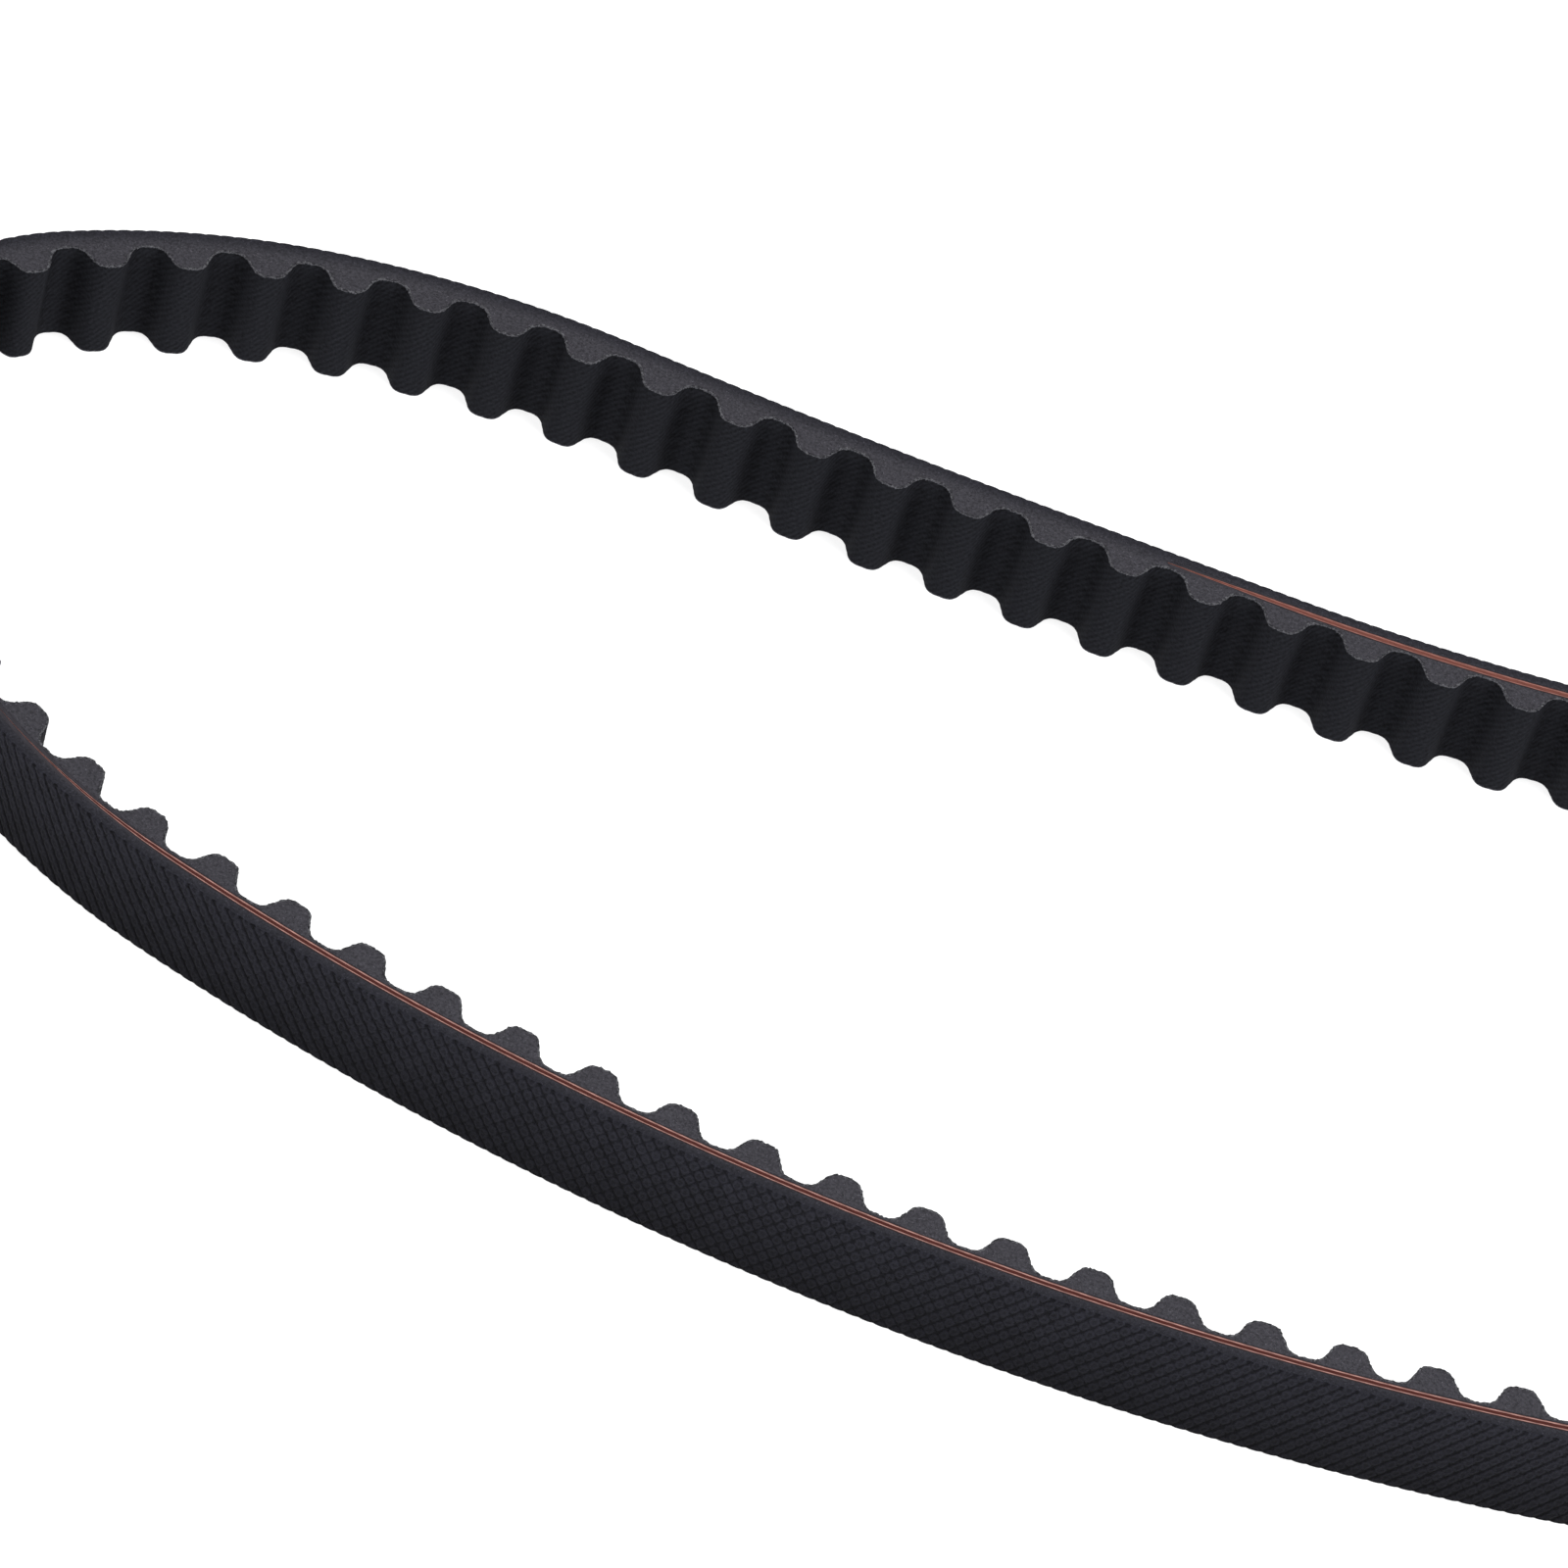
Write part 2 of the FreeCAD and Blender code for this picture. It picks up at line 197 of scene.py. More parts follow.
@dataclass
class BeltLoop:
    """The pitch line of the belt, counter-clockwise from above, teeth on its left.

    Lengths are in millimetres and angles in degrees. The near side's arcs come first,
    then the right end's, then the far side's stretches and the left end's.
    """

    pitch: float = 8.0
    tooth_count: int = 100
    start_heading: float = -41.5
    near_side: tuple[Bend, ...] = (Bend(22.6, 71.0), Bend(7.9, 260.0), Bend(22.0, 292.0))
    right_ease_turn: float = 8.0
    far_side: tuple[Bend, ...] = (
        Bend(-14.5, 220.0), Bend(0.0, 24.0), Bend(-3.6, 700.0), Bend(16.0, 107.0),
        Bend(19.2, 78.0), Bend(109.2, 27.3), Bend(0.0, 16.0))
    outline_points: int = 100

    @property
    def length(self) -> float:
        """The pitch line's length, a whole number of pitches."""
        return self.pitch * self.tooth_count

    def right_end(self) -> list[Bend]:
        """The three arcs of the right end, whose radii close the loop at its length."""
        turned = sum(bend.turn for bend in self.near_side + self.far_side)
        ease = self.right_ease_turn
        turns = (ease, 360 - turned - 2 * ease, ease)
        heading = math.radians(self.start_heading)
        unit_arcs = [Bend(turn, 1.0) for turn in turns]
        columns = []
        # What the other bends leave open: the way back to the start, and the length.
        rest = np.array([0.0, 0.0, self.length])
        for bend in (*self.near_side, *unit_arcs, *self.far_side):
            step = np.array([*bend.travel(heading), bend.length])
            if bend in unit_arcs:
                columns.append(step)
            else:
                rest -= step
            heading += math.radians(bend.turn)
        radii = np.linalg.solve(np.array(columns).T, rest)
        return [Bend(turn, float(radius)) for turn, radius in zip(turns, radii)]

    def guide(self, back_level: float, middle: Vector) -> GuideLine:
        """The loop's guide line.

        Args:
            back_level: the back face's level, inwards from the pitch line.
            middle: where the middle of the back face's box goes.

        Returns:
            The closed line in its place.
        """
        bends = [*self.near_side, *self.right_end(), *self.far_side]
        heading, place, outline = math.radians(self.start_heading), Vector((0, 0)), []
        for bend in bends:
            for share in np.linspace(0, 1, self.outline_points):
                now = heading + math.radians(bend.turn) * share
                inwards = Vector((-math.sin(now), math.cos(now)))
                outline.append(place + bend.travel(heading, share) + inwards * back_level)
            place = place + bend.travel(heading)
            heading += math.radians(bend.turn)
        low = Vector(min(point[axis] for point in outline) for axis in range(2))
        high = Vector(max(point[axis] for point in outline) for axis in range(2))
        return GuideLine("belt_loop_guide", bends, math.radians(self.start_heading),
                         middle - (low + high) / 2, True, self.pitch)


@dataclass
class ToothProfile:
    """The belt's toothed face in one pitch, from the middle of a tooth to the next.

    Lengths are in millimetres. The width is taken at half height, and the flank's angle,
    in degrees, from the tooth's centre line.
    """

    pitch: float = 8.0
    tooth_height: float = 2.65
    tooth_width: float = 3.9
    flank_angle: float = 27.0
    tip_radius: float = 1.35
    root_radius: float = 1.5
    land_level: float = 0.73
    knot_spacing: float = 0.5

    @property
    def tip_level(self) -> float:
        """The tip's level, inwards from the pitch line."""
        return self.land_level + self.tooth_height

    def bends(self) -> list[Bend]:
        """One pitch of the face: half a tip, a flank, the land and back up again."""
        flank = math.radians(self.flank_angle)
        turn = 90 - self.flank_angle
        tangent = math.tan(math.radians(turn) / 2)
        lean = self.tooth_height / 2 * math.tan(flank)
        half_tip = self.tooth_width / 2 - lean - self.tip_radius * tangent
        half_land = self.pitch / 2 - self.tooth_width / 2 - lean - self.root_radius * tangent
        slope = self.tooth_height / math.cos(flank)
        slope -= (self.tip_radius + self.root_radius) * tangent
        down = [Bend(-turn, self.tip_radius), Bend(0, slope), Bend(turn, self.root_radius)]
        up = [Bend(turn, self.root_radius), Bend(0, slope), Bend(-turn, self.tip_radius)]
        return [Bend(0, half_tip), *down, Bend(0, 2 * half_land), *up, Bend(0, half_tip)]

    def guide(self, pitches: int) -> GuideLine:
        """An open line along the face of so many pitches either side of the first tooth."""
        start = Vector((-self.pitch * pitches, self.tip_level))
        return GuideLine("tooth_guide", self.bends() * (2 * pitches), 0.0, start, False,
                         self.knot_spacing)


# -------------------------------------------------------------- modelling bench


class Bench:
    """Modelling steps that every layer shares."""

    @staticmethod
    def clear() -> None:
        """Deselects everything."""
        bpy.ops.object.select_all(action="DESELECT")

    @classmethod
    def hold(cls, *parts: Object) -> None:
        """Selects these objects alone and makes the first one active."""
        cls.clear()
        for part in parts:
            part.select_set(True)
        bpy.context.view_layer.objects.active = parts[0]

    @classmethod
    def strip(cls, name: str, columns: int, rows: int, low: Vector, high: Vector) -> Object:
        """An upright grid in the XZ plane whose faces look along -Y.

        Args:
            name: the object's name.
            columns: faces along X.
            rows: faces along Z.
            low: its corner at the lowest x and z, which also gives its y.
            high: its corner at the highest x and z.

        Returns:
            The grid, its place in its mesh.
        """
        cls.clear()
        middle = (low + high) / 2
        bpy.ops.mesh.primitive_grid_add(x_subdivisions=columns, y_subdivisions=rows, size=1,
                                        location=middle, rotation=(math.pi / 2, 0, 0))
        grid = bpy.context.object
        grid.name = name
        grid.scale = (high.x - low.x, high.z - low.z, 1)
        bpy.ops.object.transform_apply(location=True, rotation=True, scale=True)
        return grid

    @classmethod
    def edit(cls, part: Object, kind: str = "VERT") -> None:
        """Opens a part in edit mode with nothing selected."""
        cls.hold(part)
        bpy.ops.object.mode_set(mode="EDIT")
        bpy.ops.mesh.select_mode(type=kind)
        bpy.ops.mesh.select_all(action="DESELECT")

    @staticmethod
    def close() -> None:
        """Leaves edit mode."""
        bpy.ops.object.mode_set(mode="OBJECT")

    @staticmethod
    def pick(part: Object, test: Callable[..., bool], kind: str = "verts") -> int:
        """Selects the vertices, edges or faces that pass a test, and nothing else.

        Args:
            part: the object in edit mode.
            test: says whether an element is wanted.
            kind: verts, edges or faces.

        Returns:
            How many are selected.
        """
        mesh = bmesh.from_edit_mesh(part.data)
        mesh.normal_update()
        for group in (mesh.faces, mesh.edges, mesh.verts):
            for element in group:
                element.select = False
        wanted = [element for element in getattr(mesh, kind) if test(element)]
        for element in wanted:
            element.select = True
        mesh.select_flush_mode()
        bmesh.update_edit_mesh(part.data)
        return len(wanted)

    @staticmethod
    def extrude(shift: tuple[float, float, float]) -> None:
        """Extrudes what is selected and moves the new end."""
        bpy.ops.mesh.extrude_region_move(TRANSFORM_OT_translate={"value": shift})

    @staticmethod
    def flatten(value: tuple[float, float, float], centre: Vector) -> None:
        """Scales what is selected about a point, 0 to flatten it along an axis."""
        bpy.ops.transform.resize(value=value, center_override=centre)

    @staticmethod
    def merge(distance: float) -> None:
        """Merges all vertices that lie within a distance of each other."""
        bpy.ops.mesh.select_all(action="SELECT")
        bpy.ops.mesh.remove_doubles(threshold=distance)

    @classmethod
    def wall(cls, level: float) -> None:
        """Extrudes what is selected straight in or out to a level of y."""
        cls.extrude((0, 0, 0))
        cls.flatten((1, 0, 1), Vector((0, level, 0)))

    @staticmethod
    def lies_at(edge: Edge, height: float) -> bool:
        """Whether an edge lies level at a height."""
        return all(abs(vert.co.z - height) < TOUCH for vert in edge.verts)

    @staticmethod
    def read(items: bpy.types.bpy_prop_collection, name: str, width: int = 1,
             kind: type = np.float32) -> np.ndarray:
        """One property of every item of a mesh.

        Args:
            items: the mesh's vertices, loops or polygons.
            name: the property.
            width: how many numbers it has.
            kind: their type.

        Returns:
            The values, in rows where the width is over 1.
        """
        values = np.zeros(len(items) * width, kind)
        items.foreach_get(name, values)
        return values.reshape(-1, width) if width > 1 else values

    @classmethod
    def array(cls, part: Object, count: int, step: Vector, merged: bool = False) -> None:
        """Repeats a part in a row, with or without merging the copies' shared edges."""
        cls.hold(part)
        row = part.modifiers.new("row", "ARRAY")
        row.count = count
        row.use_relative_offset = False
        row.use_constant_offset = True
        row.constant_offset_displace = step
        row.use_merge_vertices = merged
        row.merge_threshold = SEAM_GAP
        bpy.ops.object.modifier_apply(modifier=row.name)

    @classmethod
    def repeat(cls, part: Object, count: int, step: Vector, uv_step: float = 0.0) -> None:
        """Repeats a part along the belt, merged, and moves the copies' map by uv_step."""
        corners = len(part.data.loops)
        cls.array(part, count, step, True)
        if uv_step:
            layer = part.data.uv_layers["pattern"].data
            places = cls.read(layer, "uv", 2)
            places[:, 0] += np.repeat(np.arange(count), corners) * uv_step
            layer.foreach_set("uv", places.ravel())

    @classmethod
    def bend(cls, part: Object, guide: GuideLine) -> None:
        """Bends a straight part along a guide line."""
        line = guide.curve()
        cls.hold(part)
        bend = part.modifiers.new("bend", "CURVE")
        bend.object = line
        bend.deform_axis = "POS_X"
        bpy.ops.object.modifier_apply(modifier=bend.name)
        data = line.data
        bpy.data.objects.remove(line)
        bpy.data.curves.remove(data)

    @classmethod
    def lay_uv(cls, part: Object) -> None:
        """Gives a straight part its pattern map in millimetres.

        Along the belt is u. Across it, v is the height on faces that look in or out and
        the level on the cut edges.
        """
        mesh = part.data
        corners = cls.read(mesh.loops, "vertex_index", kind=np.int32)
        places = cls.read(mesh.vertices, "co", 3)[corners]
        on_edge = np.abs(cls.read(mesh.polygons, "normal", 3)[:, 2]) > CUT_FACE
        sizes = cls.read(mesh.polygons, "loop_total", kind=np.int32)
        across = np.where(np.repeat(on_edge, sizes), places[:, 1], places[:, 2])
        layer = mesh.uv_layers.get("pattern") or mesh.uv_layers.new(name="pattern")
        layer.data.foreach_set("uv", np.stack([places[:, 0], across], 1).ravel())

    @classmethod
    def finish(cls, part: Object, loop: GuideLine) -> None:
        """Bends a straight part round the loop, closes it and brings it to metres."""
        cls.bend(part, loop)
        cls.edit(part)
        cls.merge(LOOP_SEAM_GAP)
        bpy.ops.mesh.select_all(action="SELECT")
        bpy.ops.mesh.normals_make_consistent(inside=False)
        cls.close()
        part.scale = (METRES_PER_MM,) * 3
        bpy.ops.object.transform_apply(location=False, rotation=False, scale=True)
        bpy.ops.object.shade_smooth_by_angle(angle=math.radians(SMOOTH_ANGLE))


# --------------------------------------------------------------- shader bench


class Value:
    """A number on a shader socket, for use in Python expressions."""

    def __init__(self, bench: "ShaderBench", socket: Socket) -> None:
        """Keeps the socket and the bench that its Math nodes go on."""
        self.bench = bench
        self.socket = socket

    def _math(self, operation: str, *values: Number) -> "Value":
        """A Math node on these values."""
        sockets = {index: value for index, value in enumerate(values)}
        node = self.bench.node("ShaderNodeMath", {"operation": operation}, sockets)
        return Value(self.bench, node.outputs[0])

    def __add__(self, other: Number) -> "Value":
        """The sum."""
        return self._math("ADD", self, other)

    __radd__ = __add__

    def __sub__(self, other: Number) -> "Value":
        """The difference."""
        return self._math("SUBTRACT", self, other)

    def __rsub__(self, other: Number) -> "Value":
        """The difference from a plain number."""
        return self._math("SUBTRACT", other, self)

    def __mul__(self, other: Number) -> "Value":
        """The product."""
        return self._math("MULTIPLY", self, other)

    __rmul__ = __mul__

    def __truediv__(self, other: Number) -> "Value":
        """The quotient."""
        return self._math("DIVIDE", self, other)

    def __abs__(self) -> "Value":
        """The size without its sign."""
        return self._math("ABSOLUTE", self)

    def fraction(self) -> "Value":
        """The part above the whole number below."""
        return self._math("FRACT", self)

    def whole(self) -> "Value":
        """The whole number below."""
        return self._math("FLOOR", self)

    def at_most(self, other: Number) -> "Value":
        """The lesser of the two."""
        return self._math("MINIMUM", self, other)

    def at_least(self, other: Number) -> "Value":
        """The greater of the two."""
        return self._math("MAXIMUM", self, other)

    def wave(self) -> "Value":
        """A cosine with a period of 1, from 0 to 1."""
        return (self._math("COSINE", self * (2 * math.pi)) + 1) / 2

    def swing(self, size: float) -> "Value":
        """A number from 0 to 1 brought to -size / 2 to size / 2."""
        return (self - 0.5) * size

    def between(self, low: float, high: float) -> "Value":
        """A number from 0 to 1 brought to low to high."""
        return self * (high - low) + low

    def rise(self, low: float, high: float) -> "Value":
        """A smooth step from 0 at low to 1 at high, where high may be the lower one."""
        if low > high:
            return 1 - self.rise(high, low)
        settings = {"interpolation_type": "SMOOTHSTEP"}
        sockets = {"Value": self, "From Min": low, "From Max": high}
        node = self.bench.node("ShaderNodeMapRange", settings, sockets)
        return Value(self.bench, node.outputs[0])

    def band(self, up: Span, down: Span) -> "Value":
        """1 between two spans, over which it rises from 0 and falls back to 0."""
        return self.rise(*up) * (1 - self.rise(*down))


class ShaderBench:
    """One material's node tree, filled node by node."""

    def __init__(self, name: str, gloss: float) -> None:
        """Makes the material.

        Args:
            name: the material's name.
            gloss: the specular level, the same all over.
        """
        self.material = bpy.data.materials.new(name)
        self.material.use_nodes = True
        self.tree = self.material.node_tree
        self.tree.nodes.clear()
        output = self.node("ShaderNodeOutputMaterial", {}, {})
        self.shader = self.node("ShaderNodeBsdfPrincipled", {}, {"Specular IOR Level": gloss})
        self.tree.links.new(self.shader.outputs[0], output.inputs["Surface"])

    def node(self, kind: str, settings: dict, sockets: dict) -> bpy.types.Node:
        """Adds a node.

        Args:
            kind: the node's type.
            settings: its properties, set first.
            sockets: values or links by socket name or number.

        Returns:
            The node.
        """
        made = self.tree.nodes.new(kind)
        for key, setting in settings.items():
            setattr(made, key, setting)
        for key, value in sockets.items():
            if isinstance(value, Value):
                value = value.socket
            if isinstance(value, bpy.types.NodeSocket):
                self.tree.links.new(value, made.inputs[key])
            else:
                made.inputs[key].default_value = value
        return made

    def place(self) -> Socket:
        """The object coordinates in metres."""
        return self.node("ShaderNodeTexCoord", {}, {}).outputs["Object"]

    def pattern(self) -> tuple[Value, Value, Socket]:
        """The pattern map: along the belt, across it, and both as a vector, in mm."""
        vector = self.node("ShaderNodeUVMap", {"uv_map": "pattern"}, {}).outputs[0]
        parts = self.node("ShaderNodeSeparateXYZ", {}, {0: vector})
        return Value(self, parts.outputs[0]), Value(self, parts.outputs[1]), vector

    def vector(self, x: Number, y: Number, z: Number = 0.0) -> Socket:
        """Three values as one vector."""
        return self.node("ShaderNodeCombineXYZ", {}, {0: x, 1: y, 2: z}).outputs[0]

    def noise(self, vector: Socket, scale: float, detail: float = 2.0,
              rough: float = 0.5) -> Value:
        """Smooth noise from 0 to 1 with so many waves to a unit."""
        node = self.node("ShaderNodeTexNoise", {"noise_dimensions": "3D"}, {
            "Vector": vector, "Scale": scale, "Detail": detail, "Roughness": rough})
        return Value(self, node.outputs[0])

    def chance(self, vector: Socket) -> Value:
        """A random number from 0 to 1 that is the same for equal vectors."""
        node = self.node("ShaderNodeTexWhiteNoise", {"noise_dimensions": "3D"}, {0: vector})
        return Value(self, node.outputs["Value"])

    def blend(self, share: Value, first: Paint, second: Paint) -> Socket:
        """A colour between two colours."""
        node = self.node("ShaderNodeMix", {"data_type": "RGBA"}, {0: share, 6: first, 7: second})
        return node.outputs[2]

    def shade(self, colour: Paint, strength: Value) -> Socket:
        """A colour made lighter or darker by a factor."""
        grey = self.vector(strength, strength, strength)
        node = self.node("ShaderNodeMix", {"data_type": "RGBA", "blend_type": "MULTIPLY"}, {
            0: 1.0, 6: colour, 7: grey})
        return node.outputs[2]

    def dress(self, colour: Socket, roughness: Value, height: Value, depth: float) -> None:
        """Links the colour, the roughness and a bump of so many metres."""
        bump = self.node("ShaderNodeBump", {}, {
            "Strength": 1.0, "Distance": depth, "Height": height})
        for name, source in (("Base Color", colour), ("Roughness", roughness.socket),
                             ("Normal", bump.outputs[0])):
            self.tree.links.new(source, self.shader.inputs[name])


# ------------------------------------------------------------------- finishes


def tint(red: float, green: float, blue: float) -> Colour:
    """A colour given as sRGB display values from 0 to 255, made linear."""
    def linear(shown: float) -> float:
        """One channel."""
        part = shown / 255
        return part / 12.92 if part <= 0.04045 else ((part + 0.055) / 1.055) ** 2.4
    return (linear(red), linear(green), linear(blue), 1.0)


@dataclass(frozen=True)
class WovenRubber:
    """The back face: rubber with the print of a diagonal weave.

    Falling and rising grooves part the cells. The grooves, and most of all the pits where
    they cross, are darkened with painted shade, and the cells have paler rings of painted
    highlight. Which grooves show darker is painted light as well: the falling ones at the
    belt's start and the rising ones after the turn. Painted shade also darkens the face
    towards its foot.
    """

    cell_length: float
    cell_height: float
    middle: float
    # The dark colour is painted shade for the grooves and the pits where they cross.
    groove_shade: Colour = tint(9, 9, 12)
    crown: Colour = tint(37, 37, 44)
    gloss: float = 0.06
    bump: float = 0.0001
    wander: float = 0.4
    turn_up: Span = (15.0, 165.0)
    turn_down: Span = (650.0, 790.0)
    ring_lean: Span = (0.28, 0.72)
    ring_inside: Span = (0.02, 0.16)
    ring_outside: Span = (0.28, 0.56)
    falling_groove: Span = (0.6, 0.97)
    rising_groove: Span = (0.55, 0.95)
    falling_shade_strength: Span = (1.2, 0.45)
    rising_shade_strength: Span = (0.35, 1.05)
    bead_strength: Span = (0.6, 1.4)
    painted_shade_foot_to_top: Span = (0.5, 0.86)

    def make(self) -> bpy.types.Material:
        """Builds the material."""
        bench = ShaderBench("woven_back_rubber", self.gloss)
        along, height, vector = bench.pattern()
        grain = bench.noise(vector, scale=4.0, detail=3.0, rough=0.75)
        columns = along / self.cell_length
        rows = (height - self.middle) / self.cell_height
        falling_line = columns + rows + bench.noise(vector, scale=1.5).swing(self.wander)
        rising_line = columns - rows + bench.noise(vector, scale=1.9).swing(self.wander)
        from_falling = falling_line.fraction().swing(2)
        from_rising = rising_line.fraction().swing(2)
        # Painted light: the falling grooves show darker at the belt's start and the rising ones after
        # the turn, as the light falls on the weave.
        turn = along.band(self.turn_up, self.turn_down)
        share = turn.between(*self.ring_lean)
        reach = from_falling * from_falling * (1 - share) + from_rising * from_rising * share
        # Paler rings on the cells: painted highlight.
        ring_highlight = reach.band(self.ring_inside, self.ring_outside)
        # Painted shade in the grooves, deepest in the pits where they cross.
        falling = abs(from_falling).rise(*self.falling_groove)
        falling = falling * turn.between(*self.falling_shade_strength)
        rising = abs(from_rising).rise(*self.rising_groove)
        rising = rising * turn.between(*self.rising_shade_strength)
        falling_beads = abs(from_rising).between(*self.bead_strength)
        rising_beads = abs(from_falling).between(*self.bead_strength)
        pit_shade = (rising * rising_beads).at_least(falling * falling_beads)
        pick = bench.chance(bench.vector(falling_line.whole(), rising_line.whole()))
        speck = bench.noise(vector, scale=6.5, detail=2.0, rough=0.7).rise(0.45, 0.75)
        cloud = bench.noise(vector, scale=0.35, detail=2.0)
        level = 0.37 + ring_highlight * 0.34 - pit_shade * 0.24 + pick.swing(0.18) + speck * 0.3
        level = level + grain.swing(1.5) + cloud.swing(0.25)
        colour = bench.blend(level.at_least(0).at_most(1), self.groove_shade, self.crown)
        # Painted shade: the face is darker towards its foot.
        colour = bench.shade(colour, (height / self.middle).between(*self.painted_shade_foot_to_top))
        fibres = bench.noise(bench.vector(falling_line * 1.5, rising_line * 9.0), scale=1.0, detail=2.0)
        relief = ring_highlight * 0.7 - pit_shade * 0.6 + fibres * 0.3 + grain * 0.9
        bench.dress(colour, grain.between(0.62, 0.87), relief, self.bump)
        return bench.material


@dataclass(frozen=True)
class CutRubber:
    """The cut edge: matt grey rubber with fine pale specks, darker towards the back."""

    outer: Colour = tint(34, 34, 40)
    inner: Colour = tint(55, 54, 59)
    levels: Span = (-1.5, 0.9)
    gloss: float = 0.1
    bump: float = 0.00006
    grain_scale: float = 3400.0
    cloud_scale: float = 500.0
    speck_scale: float = 5200.0
    darkest: float = 0.2

    def make(self) -> bpy.types.Material:
        """Builds the material."""
        bench = ShaderBench("cut_edge_rubber", self.gloss)
        _, level, _ = bench.pattern()
        place = bench.place()
        grain = bench.noise(place, scale=self.grain_scale, detail=4.0, rough=0.8)
        cloud = bench.noise(place, scale=self.cloud_scale, detail=2.0)
        speck = bench.noise(place, scale=self.speck_scale, detail=1.0, rough=0.5).rise(0.6, 0.74)
        base = bench.blend(level.rise(*self.levels), self.outer, self.inner)
        strength = 0.95 + grain.swing(2.8) + cloud.swing(0.2) + speck
        colour = bench.shade(base, strength.at_least(self.darkest))
        bench.dress(colour, grain.between(0.7, 0.9), grain + speck, self.bump)
        return bench.material


@dataclass(frozen=True)
class CordFibre:
    """The tensile cord: brown-red treated strands with a pale strand on either side.

    In the upper edge it thins out under the rubber towards both ends of its cut stretch.
    Bands across it are in shares of its radius.
    """

    radius: float
    core: Colour = tint(68, 29, 24)
    strand: Colour = tint(166, 127, 119)
    shadow: Colour = tint(38, 34, 37)
    blended: Colour = tint(122, 72, 62)
    covered: Colour = tint(50, 48, 53)
    gloss: float = 0.14
    bump: float = 0.00006
    upper_half: Span = (0.005, 0.007)
    shown_from: Span = (4.0, 36.0)
    shown_to: Span = (604.0, 624.0)
    thinnest: float = 0.05
    strand_inside: Span = (0.3, 0.46)
    strand_outside: Span = (0.58, 0.7)
    rim: Span = (0.66, 0.8)
    cover: Span = (0.9, 1.2)
    even_from: Span = (300.0, 420.0)
    evenness: float = 0.6

    def make(self) -> bpy.types.Material:
        """Builds the material."""
        bench = ShaderBench("treated_cord", self.gloss)
        along, level, _ = bench.pattern()
        height = bench.node("ShaderNodeSeparateXYZ", {}, {0: bench.place()}).outputs[2]
        upper = Value(bench, height).rise(*self.upper_half)
        hidden = upper * (1 - along.band(self.shown_from, self.shown_to))
        across = abs(level) / self.radius / hidden.between(1, self.thinnest)
        wander = bench.noise(bench.vector(along * 0.25, level), scale=1.0).swing(0.12)
        fibres = bench.noise(bench.vector(along * 0.7, level * 14.0), scale=1.0, detail=3.0, rough=0.6)
        twist = (along * 0.55 + level * 1.3).wave()
        strand = (across + wander).band(self.strand_inside, self.strand_outside)
        colour = bench.blend(strand * twist.between(0.75, 1), self.core, self.strand)
        even = along.rise(*self.even_from) * self.evenness
        colour = bench.blend(even, colour, self.blended)
        colour = bench.blend((across + wander).rise(*self.rim), colour, self.shadow)
        colour = bench.blend(across.rise(*self.cover), colour, self.covered)
        strength = 0.65 + fibres * 0.6 + twist.swing(0.12)
        relief = fibres + strand * 0.6 + twist * 0.3
        bench.dress(bench.shade(colour, strength), fibres.between(0.55, 0.85), relief, self.bump)
        return bench.material


@dataclass(frozen=True)
class FacingCloth:
    """The cloth over the teeth: black twill, with pale cut fibres at the belt's edges.

    Painted shade darkens the flanks a little and puts soft dark ovals at the roots, in step
    with the cord's laps.
    """

    rib_spacing: float
    rib_lean: float
    width: float
    lap_step: float
    flat_pitch: float
    dark: Colour = tint(11, 11, 14)
    light: Colour = tint(36, 37, 42)
    fibre: Colour = tint(118, 118, 124)
    gloss: float = 0.06
    bump: float = 0.00005
    root_start: Span = (0.01, 0.08)
    root_end: Span = (0.14, 0.24)
    flank_shade_start: Span = (0.04, 0.13)
    flank_shade_end: Span = (0.2, 0.33)
    lap_shade_swell: Span = (-0.6, 0.9)
    fray_reach: Span = (0.42, 0.16)
    fray_share: float = 0.8

    def make(self) -> bpy.types.Material:
        """Builds the material."""
        bench = ShaderBench("facing_twill", self.gloss)
        along, height, vector = bench.pattern()
        grain = bench.noise(vector, scale=3.0, detail=4.0, rough=0.75)
        wander = bench.noise(vector, scale=1.6).swing(0.3)
        ridge = ((along + height * self.rib_lean) / self.rib_spacing + wander).wave()
        thread = (height / (self.rib_spacing * 0.7) + wander).wave()
        from_land = abs((along / self.flat_pitch).fraction() - 0.5)
        root = from_land.band(self.root_start, self.root_end)
        # Painted shade: soft dark ovals at the roots, in step with the cord's laps, which also dent the
        # bump.
        lap = (height / self.lap_step).wave().swing(2).rise(*self.lap_shade_swell) * root
        # Painted shade: the flanks are a little darker.
        flank = from_land.band(self.flank_shade_start, self.flank_shade_end)
        level = 0.31 + ridge * 0.28 + thread * 0.06 + grain.swing(2.0)
        level = level - flank * 0.14 - lap * 0.14
        colour = bench.blend(level.at_least(0).at_most(1), self.dark, self.light)
        from_edge = height.at_most(self.width - height)
        tuft = bench.noise(bench.vector(along * 7.0, height * 1.5), scale=1.0, detail=3.0, rough=0.7)
        frayed = (from_edge + tuft * 0.5).rise(*self.fray_reach)
        colour = bench.blend(frayed * self.fray_share, colour, self.fibre)
        relief = ridge * 0.4 + grain * 0.8 + tuft * frayed - lap * 0.5
        bench.dress(colour, grain.between(0.75, 0.95), relief, self.bump)
        return bench.material


